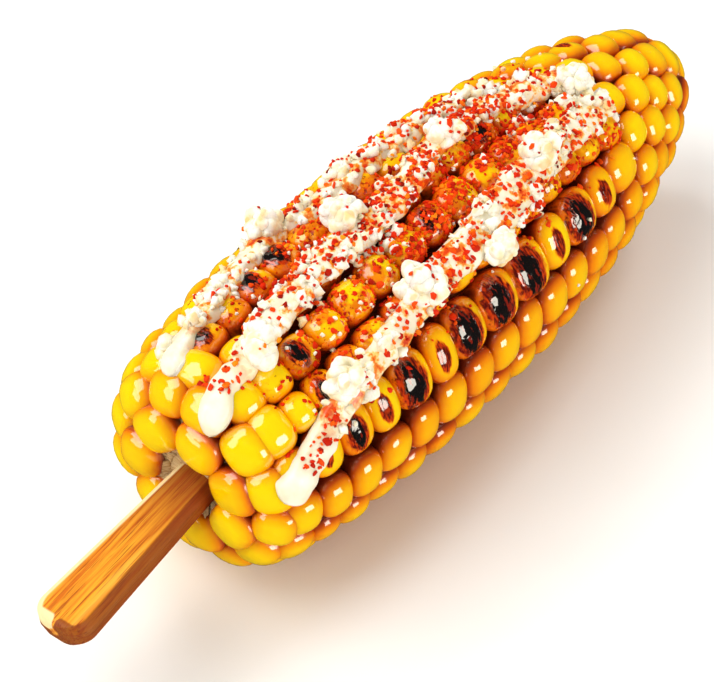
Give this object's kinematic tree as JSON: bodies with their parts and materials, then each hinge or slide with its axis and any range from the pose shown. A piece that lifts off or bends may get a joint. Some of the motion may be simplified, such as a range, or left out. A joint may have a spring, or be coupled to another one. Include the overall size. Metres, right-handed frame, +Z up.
{
  "type": "grilled corn on a stick",
  "caption": "Elote: grilled ear of corn on a flat wooden stick, lying on its side with crema, crumbled fresh cheese and chili flakes on top.",
  "frame": {"origin": "middle of the underside of the whole part, on the surface that the ear lies on", "axes": "+X along the ear from the stick to the tip, +Z up through the dressed side, +Y to the ear's far side"},
  "size_m": [0.2018, 0.0576, 0.0622],
  "materials": {
    "kernels": "glossy cooked corn, bright yellow with orange bases, some kernels charred black",
    "cob": "dry tan cob with ragged chaff",
    "stick_wood": "amber wood with long brown grain and eased edges",
    "crema": "thick glossy white crema",
    "cheese": "dry crumbled off-white fresh cheese",
    "chili": "angular red and dark red chili flakes"
  },
  "bodies": {
    "root": {"kernels": "kernels", "cob": "cob", "stick": "stick_wood", "crema_front": "crema", "crema_top": "crema", "crema_back": "crema", "cheese_1": "cheese", "cheese_2": "cheese", "cheese_3": "cheese", "cheese_4": "cheese", "cheese_5": "cheese", "cheese_6": "cheese", "cheese_7": "cheese", "cheese_8": "cheese", "cheese_9": "cheese"}
  },
  "joints": []
}
